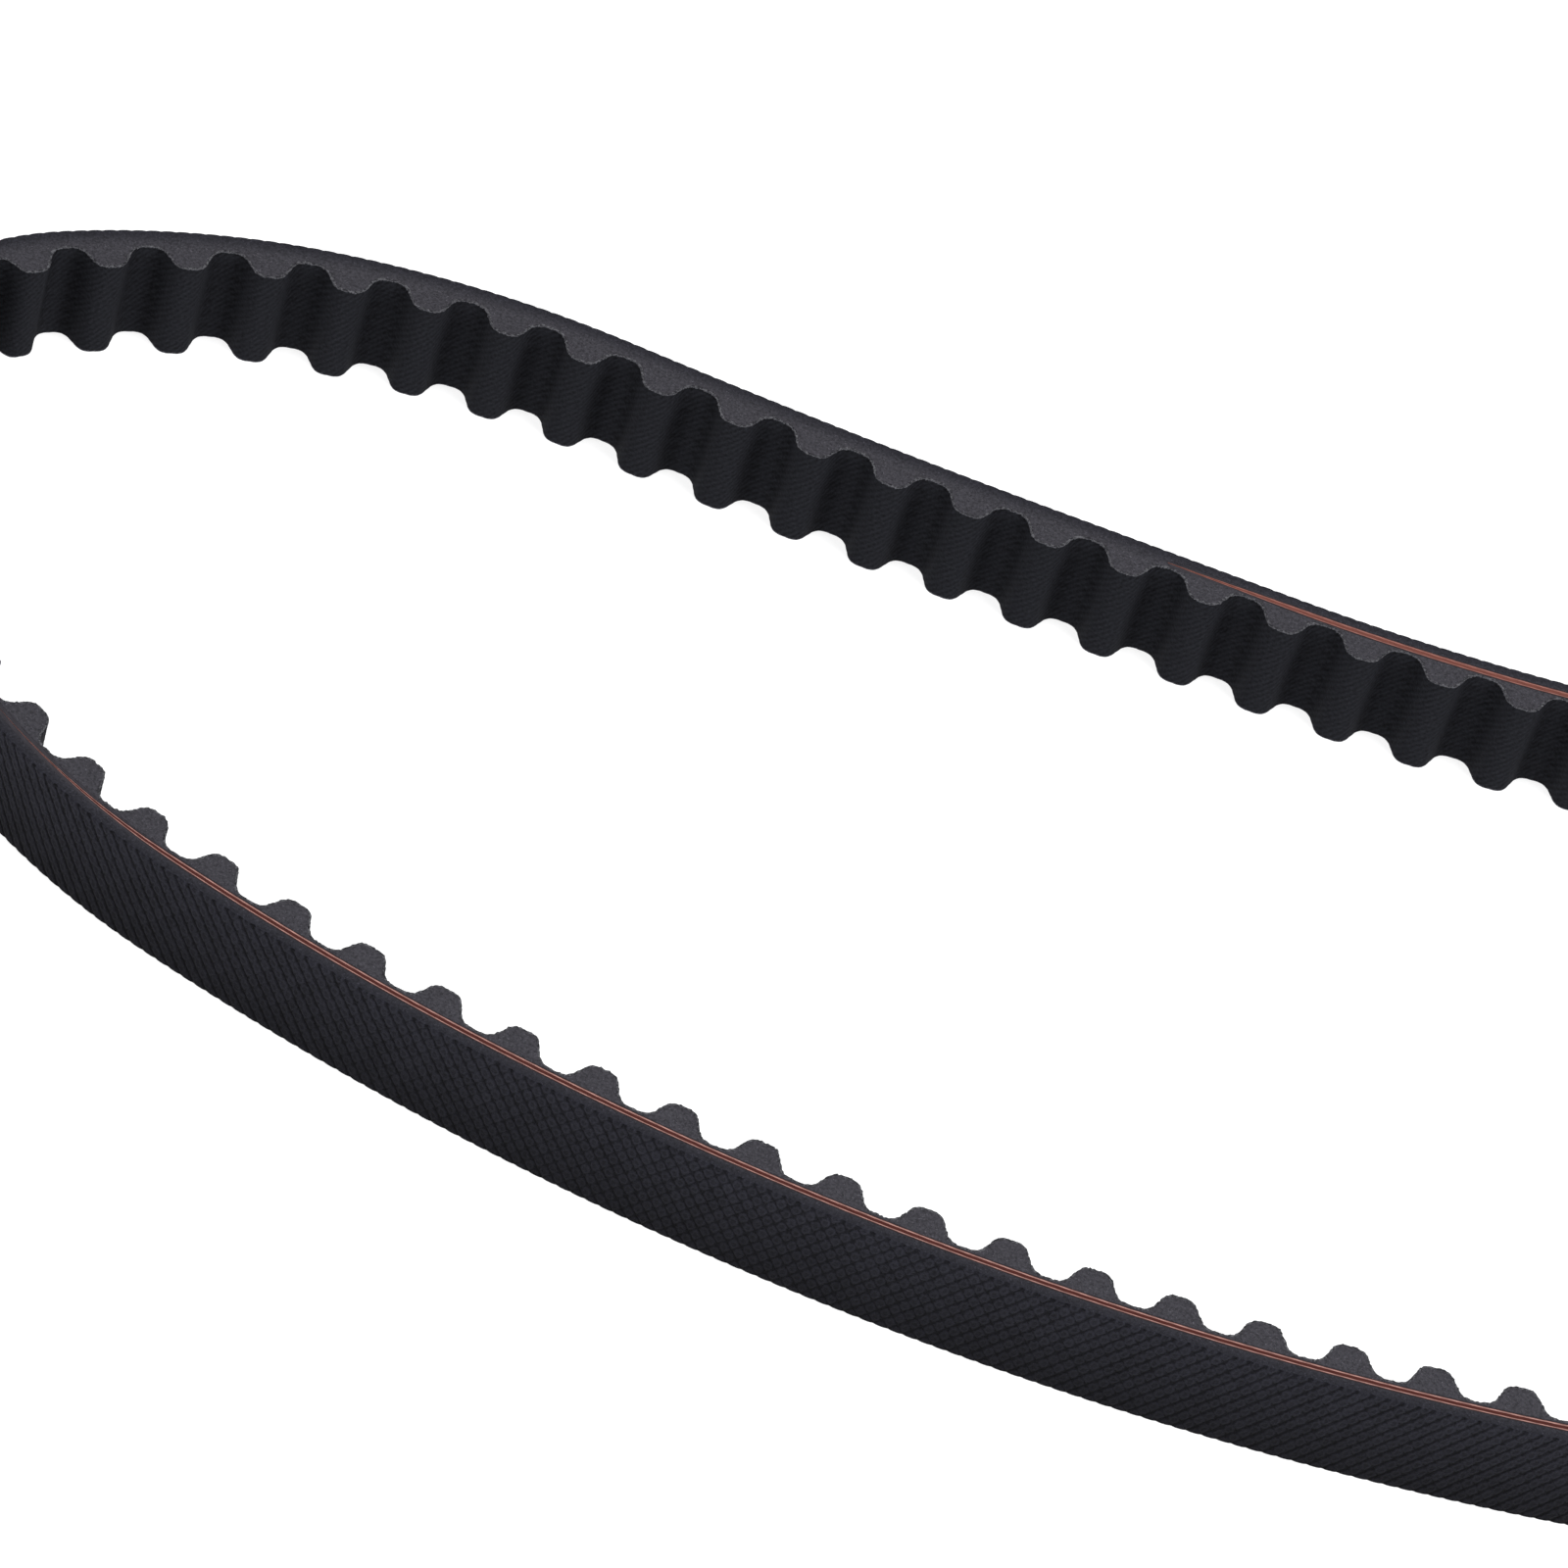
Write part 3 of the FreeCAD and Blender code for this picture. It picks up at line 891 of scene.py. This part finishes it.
@dataclass(frozen=True)
class ClothEdge:
    """The cloth's own cut edge: chopped fibre ends, grey with pale tufts."""

    dark: Colour = tint(24, 24, 28)
    light: Colour = tint(98, 98, 102)
    gloss: float = 0.1
    bump: float = 0.00008
    tuft_scale: float = 3800.0
    grain_scale: float = 9000.0

    def make(self) -> bpy.types.Material:
        """Builds the material."""
        bench = ShaderBench("cloth_cut_fibres", self.gloss)
        place = bench.place()
        tuft = bench.noise(place, scale=self.tuft_scale, detail=3.0, rough=0.7)
        grain = bench.noise(place, scale=self.grain_scale, detail=2.0, rough=0.6)
        share = (tuft.rise(0.4, 0.68) * 0.8 + grain * 0.2).at_most(1)
        colour = bench.blend(share, self.dark, self.light)
        bench.dress(colour, grain.between(0.8, 0.95), tuft + grain, self.bump)
        return bench.material


@dataclass(frozen=True)
class StudioFloor:
    """The pale floor under the belt, which also gives a little light of its own."""

    colour: Colour = tint(160, 160, 161)
    gloss: float = 0.1
    glow: float = 0.78
    cloud_scale: float = 30.0

    def make(self) -> bpy.types.Material:
        """Builds the material."""
        bench = ShaderBench("studio_floor", self.gloss)
        cloud = bench.noise(bench.place(), scale=self.cloud_scale)
        colour = bench.shade(self.colour, cloud.between(0.99, 1.01))
        bench.dress(colour, cloud.between(0.9, 0.92), cloud, 0.0)
        bench.shader.inputs["Emission Color"].default_value = WHITE
        bench.shader.inputs["Emission Strength"].default_value = self.glow
        return bench.material


# --------------------------------------------------------------------- layers


@dataclass
class Layer:
    """What all four layers share."""

    belt_length: float
    width: float

    @staticmethod
    def hand_over(part: Object, node: str, slot: Slot, *materials: bpy.types.Material) -> None:
        """Dresses a finished piece and puts it on the belt in place of its CAD node."""
        for material in materials:
            part.data.materials.append(material)
        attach(part, "root")
        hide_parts(node)
        log.info("%s: %d faces", part.name, len(part.data.polygons))

    @staticmethod
    def on_cut_edge(part: Object, index: int) -> None:
        """Gives the faces that look up or down another material slot."""
        looks = Bench.read(part.data.polygons, "normal", 3)
        slots = np.where(np.abs(looks[:, 2]) > CUT_FACE, index, 0)
        part.data.polygons.foreach_set("material_index", slots.astype(np.int32))


@dataclass
class BackCover(Layer):
    """The rubber outside the cord, its face printed with a diagonal weave.

    The weave's floor lies inside the back level by floor_share of the relief. Each cell
    rises from it in two steps, given as shares of the relief.
    """

    back_level: float = -1.5
    cord_gap_level: float = -0.47
    cell_count: int = 568
    cell_height: float = 1.95
    cell_rows: int = 8
    relief: float = 0.08
    floor_share: float = 0.8
    step_width: float = 0.17
    step_shares: Span = (0.72, 0.28)
    corner: float = 0.09

    @property
    def cell_length(self) -> float:
        """One repeat of the weave along the belt."""
        return self.belt_length / self.cell_count

    def cells(self) -> Object:
        """One repeat of the weave's diamonds, flat and wider than the belt, in edit mode."""
        reach = self.cell_rows * self.cell_height / 2
        floor = self.back_level + self.relief * self.floor_share
        part = Bench.strip("woven_back", 2, self.cell_rows,
                           Vector((0, floor, self.width / 2 - reach)),
                           Vector((2 * self.cell_length, floor, self.width / 2 + reach)))
        Bench.edit(part, "FACE")
        bpy.ops.mesh.select_all(action="SELECT")
        bpy.ops.mesh.poke()

        def on_grid(edge: Edge) -> bool:
            """Whether an edge is one of the first grid's and has two faces."""
            way = edge.verts[0].co - edge.verts[1].co
            return len(edge.link_faces) == 2 and min(abs(way.x), abs(way.z)) < TOUCH / 10

        bpy.ops.mesh.select_mode(type="EDGE")
        Bench.pick(part, on_grid, "edges")
        bpy.ops.mesh.dissolve_edges(use_verts=False)

        def outside(face: Face) -> bool:
            """Whether a cell belongs to the next repeat or is only half a cell."""
            middle = face.calc_center_median().x / self.cell_length
            return len(face.verts) == 3 and (middle < 0.4 or middle > 1.6) or middle > 1.2

        bpy.ops.mesh.select_mode(type="FACE")
        Bench.pick(part, outside, "faces")
        bpy.ops.mesh.delete(type="FACE")
        return part

    def weave(self) -> Object:
        """One repeat of the weave, its cells raised as cushions."""
        part = self.cells()
        bpy.ops.mesh.select_all(action="SELECT")
        for share in self.step_shares:
            bpy.ops.mesh.inset(use_individual=True, thickness=self.step_width,
                               depth=self.relief * share)
        Bench.close()
        return part

    def close_edges(self, part: Object) -> None:
        """Cuts the weave to the width and closes it with cut edges and an inner wall."""
        cuts = ((self.corner, -1), (self.width - self.corner, 1))
        Bench.edit(part)
        for height, side in cuts:
            bpy.ops.mesh.select_all(action="SELECT")
            bpy.ops.mesh.bisect(plane_co=(0, 0, height), plane_no=(0, 0, side),
                                clear_outer=True, threshold=TOUCH / 10)
        bpy.ops.mesh.select_mode(type="EDGE")
        for height, side in cuts:
            Bench.pick(part, lambda edge: Bench.lies_at(edge, height), "edges")
            Bench.extrude((0, self.corner, side * self.corner))
            Bench.wall(self.cord_gap_level)
            Bench.wall(0.0)
        Bench.extrude((0, 0, -self.width))
        Bench.merge(SEAM_GAP)
        Bench.close()

    def build(self) -> Object:
        """The whole back cover, still straight."""
        part = self.weave()
        self.close_edges(part)
        Bench.repeat(part, self.cell_count, Vector((self.cell_length, 0, 0)))
        return part


@dataclass
class ToothRubber(Layer):
    """The rubber between the cord and the cloth, with the teeth."""

    profile: ToothProfile
    columns: int = 52
    cloth_thickness: float = 0.2
    cord_gap_level: float = 0.47

    def build(self) -> Object:
        """The whole toothed rubber, still straight."""
        guide = self.profile.guide(1)
        part = Bench.strip("toothed_rubber", self.columns, 1,
                           Vector((guide.length / 2, -self.cloth_thickness, 0)),
                           Vector((guide.length, -self.cloth_thickness, self.width)))
        Bench.bend(part, guide)
        Bench.edit(part, "EDGE")
        for height in (0.0, self.width):
            def at_edge(edge: Edge, height: float = height) -> bool:
                """Whether an edge of the toothed wall lies on the cut edge."""
                inside = min(vert.co.y for vert in edge.verts) > self.cord_gap_level
                return inside and Bench.lies_at(edge, height)
            Bench.pick(part, at_edge, "edges")
            Bench.wall(self.cord_gap_level)
            Bench.wall(0.0)
        Bench.extrude((0, 0, -self.width))
        Bench.merge(SEAM_GAP)
        Bench.close()
        Bench.repeat(part, round(self.belt_length / self.profile.pitch),
                     Vector((self.profile.pitch, 0, 0)))
        return part


@dataclass
class Cloth(Layer):
    """The twill cloth bonded over the teeth and the lands."""

    profile: ToothProfile
    columns: int = 52
    rows: int = 15
    rib_lifts: tuple[float, ...] = (0.0, 0.014, 0.02, 0.014)
    lean_columns: int = 56
    thickness: float = 0.2
    seam_gap: float = 0.001
    fray: float = 0.09
    fray_seed: int = 7

    @property
    def flat_pitch(self) -> float:
        """The cloth's length over one pitch, laid flat."""
        return sum(bend.length for bend in self.profile.bends())

    @property
    def rib_spacing(self) -> float:
        """From one rib to the next along the belt."""
        return self.flat_pitch / self.columns * len(self.rib_lifts)

    @property
    def rib_lean(self) -> float:
        """How far a rib goes back along the belt for each millimetre up."""
        return self.lean_columns * self.flat_pitch / self.columns / self.width

    def ribbed_line(self, start: float) -> Object:
        """The lower edge of one pitch of cloth: a line that rises over each rib."""
        part = Bench.strip("facing_cloth", self.columns, 1, Vector((start, 0, 0)),
                           Vector((start + self.flat_pitch, 0, self.width)))
        Bench.edit(part)
        Bench.pick(part, lambda vert: vert.co.z > self.width / 2)
        bpy.ops.mesh.delete(type="VERT")
        for step, lift in enumerate(self.rib_lifts):
            def on_step(vert: Vertex, step: int = step) -> bool:
                """Whether a vertex is this far across its rib."""
                column = round((vert.co.x - start) * self.columns / self.flat_pitch)
                return column % len(self.rib_lifts) == step
            Bench.pick(part, on_step)
            bpy.ops.transform.translate(value=(0, lift, 0))
        return part

    def flat_repeat(self, start: float) -> Object:
        """One pitch of cloth laid flat: its upper rim, back, lower rim and ribbed face."""
        part = self.ribbed_line(start)

        def on_face_line(edge: Edge) -> bool:
            """Whether an edge is part of the ribbed line at the foot."""
            return all(vert.co.z < TOUCH and vert.co.y > -TOUCH for vert in edge.verts)
        bpy.ops.mesh.select_mode(type="EDGE")
        bpy.ops.mesh.select_all(action="SELECT")
        bpy.ops.mesh.duplicate_move(TRANSFORM_OT_translate={"value": (0, 0, self.width)})
        Bench.wall(-self.thickness)
        Bench.extrude((0, 0, -self.width))
        Bench.pick(part, on_face_line, "edges")
        Bench.wall(-self.thickness)
        Bench.pick(part, on_face_line, "edges")
        for _ in range(self.rows):
            Bench.extrude((-self.rib_lean * self.width / self.rows, 0, self.width / self.rows))
        Bench.merge(self.seam_gap)
        Bench.close()
        return part

    def build(self) -> Object:
        """The whole cloth, still straight."""
        guide = self.profile.guide(2)
        part = self.flat_repeat(guide.length / 2)
        Bench.lay_uv(part)
        self.on_cut_edge(part, 1)
        Bench.bend(part, guide)
        Bench.repeat(part, round(self.belt_length / self.profile.pitch),
                     Vector((self.profile.pitch, 0, 0)), self.flat_pitch)
        return part

    def tease(self, part: Object) -> None:
        """Pulls the cut threads along the upper edge a little out of line."""
        Bench.edit(part)
        top = (self.width - 0.01) * METRES_PER_MM
        Bench.pick(part, lambda vert: vert.co.z > top)
        bpy.ops.transform.vertex_random(offset=self.fray * METRES_PER_MM, seed=self.fray_seed)
        Bench.close()


@dataclass
class Cord(Layer):
    """The tensile cord: one cord wound round the loop from the upper edge to the lower.

    The laps run level, and each sinks half a step on either straight run of the loop.
    sinks holds each straight run's start and length. The bands are shares of the radius.
    """

    sinks: tuple[Span, ...]
    diameter: float = 0.9
    lap_count: int = 7
    ring_points: int = 16
    ring_spacing: float = 2.5
    core_band: Span = (0.0, 0.45)
    core_dip: float = 0.03
    rim_band: Span = (0.9, 1.1)
    rim_dip: float = 0.05
    groove_depth: float = 0.6
    slack: float = 0.001

    @property
    def lap_step(self) -> float:
        """From one lap down to the next."""
        return self.width / self.lap_count

    def sunk(self, along: float) -> float:
        """How far a lap has sunk at a distance along it: two equal arcs on each straight."""
        depth = 0.0
        for start, length in self.sinks:
            share = min(max((along - start) / length, 0.0), 1.0)
            bend = 2 * share ** 2 if share < 0.5 else 1 - 2 * (1 - share) ** 2
            depth += bend * self.lap_step / 2
        return depth

    def stations(self) -> list[float]:
        """Where the rings of one lap stand: evenly on each run between two ends."""
        ends = [0.0]
        for start, length in self.sinks:
            ends += [start, start + length]
        if ends[-1] < self.belt_length - self.slack:
            ends.append(self.belt_length)
        found = [0.0]
        for low, high in zip(ends, ends[1:]):
            steps = max(1, math.ceil((high - low) / self.ring_spacing))
            found += [low + (high - low) * step / steps for step in range(1, steps + 1)]
        return found

    def exposed(self, along: float, height: float) -> bool:
        """Whether the cord shows in the upper or the lower cut edge at a distance."""
        wrapped = (along + self.slack) % self.belt_length
        sunk = self.sunk(wrapped)
        radius = self.diameter / 2
        if height > self.width / 2:
            return sunk < radius
        return wrapped <= self.sinks[0][0] or self.lap_step - sunk < radius

    def open_groove(self, part: Object) -> None:
        """Sinks a rubber layer's rim at the pitch line where the cord shows."""
        Bench.edit(part)
        for height, shift in ((self.width, -self.groove_depth), (0.0, self.groove_depth)):
            def under_cord(vert: Vertex, height: float = height) -> bool:
                """Whether a vertex lies under a cut lap of the cord."""
                off_line = max(abs(vert.co.y), abs(vert.co.z - height))
                return off_line < self.slack and self.exposed(vert.co.x, height)
            Bench.pick(part, under_cord)
            bpy.ops.transform.translate(value=(0, 0, shift))
        Bench.close()

    def first_lap(self) -> Object:
        """The first lap, in the upper edge at its start."""
        Bench.clear()
        bpy.ops.mesh.primitive_circle_add(
            vertices=self.ring_points, radius=self.diameter / 2, fill_type="NOTHING",
            location=(0, 0, self.width), rotation=(0, math.pi / 2, 0))
        part = bpy.context.object
        part.name = "wound_cord"
        bpy.ops.object.transform_apply(location=True, rotation=True, scale=True)
        Bench.edit(part, "EDGE")
        bpy.ops.mesh.select_all(action="SELECT")
        stations = self.stations()
        for last, now in zip(stations, stations[1:]):
            Bench.extrude((now - last, 0, self.sunk(last) - self.sunk(now)))
        Bench.close()
        return part

    def cut_flush(self, part: Object, height: float, side: int) -> None:
        """Flattens what stands out of a cut edge and dips the core and the rim in it."""
        Bench.pick(part, lambda vert: (vert.co.z - height) * side > -TOUCH / 10)
        Bench.flatten((1, 1, 0), Vector((0, 0, height)))
        for band, dip in ((self.core_band, self.core_dip), (self.rim_band, self.rim_dip)):
            def in_band(vert: Vertex, band: Span = band) -> bool:
                """Whether a vertex of the cut face lies in a band across it."""
                across = abs(vert.co.y) / (self.diameter / 2)
                return abs(vert.co.z - height) < TOUCH and band[0] <= across < band[1]
            Bench.pick(part, in_band)
            bpy.ops.transform.translate(value=(0, 0, -side * dip))

    def build(self) -> Object:
        """The whole winding, still straight."""
        part = self.first_lap()
        last_lap = len(part.data.vertices) * self.lap_count
        end = self.sinks[0][0] + self.slack
        Bench.array(part, self.lap_count + 1, Vector((0, 0, -self.lap_step)))
        Bench.edit(part)
        Bench.pick(part, lambda vert: vert.index >= last_lap and vert.co.x > end)
        bpy.ops.mesh.delete(type="VERT")
        self.cut_flush(part, self.width, 1)
        self.cut_flush(part, 0.0, -1)
        Bench.close()
        self.lay_level_uv(part)
        return part

    @staticmethod
    def lay_level_uv(part: Object) -> None:
        """Maps the cord by distance along the belt and level across it."""
        mesh = part.data
        corners = Bench.read(mesh.loops, "vertex_index", kind=np.int32)
        places = Bench.read(mesh.vertices, "co", 3)[corners]
        mesh.uv_layers.new(name="pattern").data.foreach_set("uv", places[:, :2].ravel())

    @staticmethod
    def cap(part: Object) -> None:
        """Closes the cord's two ends."""
        Bench.edit(part)
        bpy.ops.mesh.select_all(action="SELECT")
        bpy.ops.mesh.fill_holes(sides=0)
        bpy.ops.mesh.select_all(action="SELECT")
        bpy.ops.mesh.normals_make_consistent(inside=False)
        Bench.close()


# ---------------------------------------------------------------------- studio


@dataclass(frozen=True)
class SoftBox:
    """A square soft light that faces the belt; place and size in metres, power in watts."""

    name: str
    place: tuple[float, float, float]
    size: float
    power: float

    def build(self) -> None:
        """Hangs the light."""
        light = bpy.data.lights.new(self.name, "AREA")
        light.shape = "SQUARE"
        light.size = self.size
        light.energy = self.power
        holder = bpy.data.objects.new(self.name, light)
        holder.location = self.place
        holder.rotation_mode = "QUATERNION"
        holder.rotation_quaternion = Vector(self.place).to_track_quat("Z", "Y")
        bpy.context.scene.collection.objects.link(holder)


@dataclass
class Studio:
    """The floor, the light and the camera. Angles are in degrees, the lens in mm."""

    floor_size: float = 6.0
    floor_cells: int = 8
    room_light: float = 0.45
    boxes: tuple[SoftBox, ...] = (
        SoftBox("key_box", (0.85, -0.35, 0.8), 0.6, 15.0),
        SoftBox("fill_box", (-0.75, -0.7, 0.55), 0.6, 5.5),
        SoftBox("top_box", (-0.15, 0.35, 1.3), 0.9, 6.0))
    lens: float = 191.54
    sensor: float = 36.0
    clip: Span = (0.01, 20.0)
    camera_place: tuple[float, float, float] = (-0.08257, -0.52721, 0.58518)
    camera_pitch: float = 42.092
    camera_roll: float = 18.559

    def build_floor(self) -> None:
        """A plain pale floor under the belt."""
        Bench.clear()
        bpy.ops.mesh.primitive_grid_add(x_subdivisions=self.floor_cells,
                                        y_subdivisions=self.floor_cells, size=self.floor_size)
        floor = bpy.context.object
        floor.name = "studio_floor"
        floor.data.materials.append(StudioFloor().make())

    def build_light(self) -> None:
        """Soft boxes in a bright, even room."""
        world = bpy.data.worlds.new("studio_room")
        world.use_nodes = True
        room = world.node_tree.nodes["Background"].inputs
        room["Color"].default_value = WHITE
        room["Strength"].default_value = self.room_light
        bpy.context.scene.world = world
        for box in self.boxes:
            box.build()

    def build_camera(self) -> None:
        """The camera that looks down on the belt from the front."""
        data = bpy.data.cameras.new("camera")
        data.sensor_width = self.sensor
        data.lens = self.lens
        data.clip_start, data.clip_end = self.clip
        camera = bpy.data.objects.new("camera", data)
        bpy.context.scene.collection.objects.link(camera)
        camera.matrix_world = (Matrix.Translation(self.camera_place)
                               @ Matrix.Rotation(math.radians(self.camera_pitch), 4, "X")
                               @ Matrix.Rotation(math.radians(self.camera_roll), 4, "Z"))
        bpy.context.scene.camera = camera

    def build(self) -> None:
        """Sets up the whole studio."""
        self.build_floor()
        self.build_light()
        self.build_camera()
        bpy.context.scene.view_settings.view_transform = "Standard"


# ------------------------------------------------------------------------ main


def straight_runs(loop: GuideLine) -> tuple[Span, ...]:
    """The start and the length of each straight run of the loop."""
    runs, along = [], 0.0
    for bend in loop.bends:
        if not bend.turn:
            runs.append((along, bend.length))
        along += bend.length
    return tuple(runs)


def build_belt() -> None:
    """Builds the four layers and dresses them."""
    low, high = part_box("back_cover")
    width = (high.z - low.z) / METRES_PER_MM
    belt = BeltLoop()
    profile = ToothProfile(pitch=belt.pitch)
    loop = belt.guide(BackCover.back_level, ((low + high) / 2 / METRES_PER_MM).to_2d())
    back = BackCover(belt.length, width)
    teeth = ToothRubber(belt.length, width, profile)
    cloth = Cloth(belt.length, width, profile)
    cord = Cord(belt.length, width, straight_runs(loop))
    cut_rubber = CutRubber().make()

    part = back.build()
    Bench.lay_uv(part)
    back.on_cut_edge(part, 1)
    cord.open_groove(part)
    Bench.finish(part, loop)
    weave = WovenRubber(back.cell_length, back.cell_height, width / 2).make()
    back.hand_over(part, "back_cover", Slot.BACK, weave, cut_rubber)

    part = teeth.build()
    Bench.lay_uv(part)
    cord.open_groove(part)
    Bench.finish(part, loop)
    teeth.hand_over(part, "tooth_rubber", Slot.TEETH, cut_rubber)

    part = cloth.build()
    Bench.finish(part, loop)
    cloth.tease(part)
    twill = FacingCloth(cloth.rib_spacing, cloth.rib_lean, width, cord.lap_step,
                        cloth.flat_pitch).make()
    cloth.hand_over(part, "facing_fabric", Slot.CLOTH, twill, ClothEdge().make())

    part = cord.build()
    Bench.finish(part, loop)
    cord.cap(part)
    cord.hand_over(part, "tensile_cord", Slot.CORD, CordFibre(cord.diameter / 2).make())


def main() -> None:
    """Builds the belt and its studio."""
    logging.basicConfig(level=logging.INFO)
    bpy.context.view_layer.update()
    build_belt()
    Studio().build()


if __name__ == "__main__":
    main()
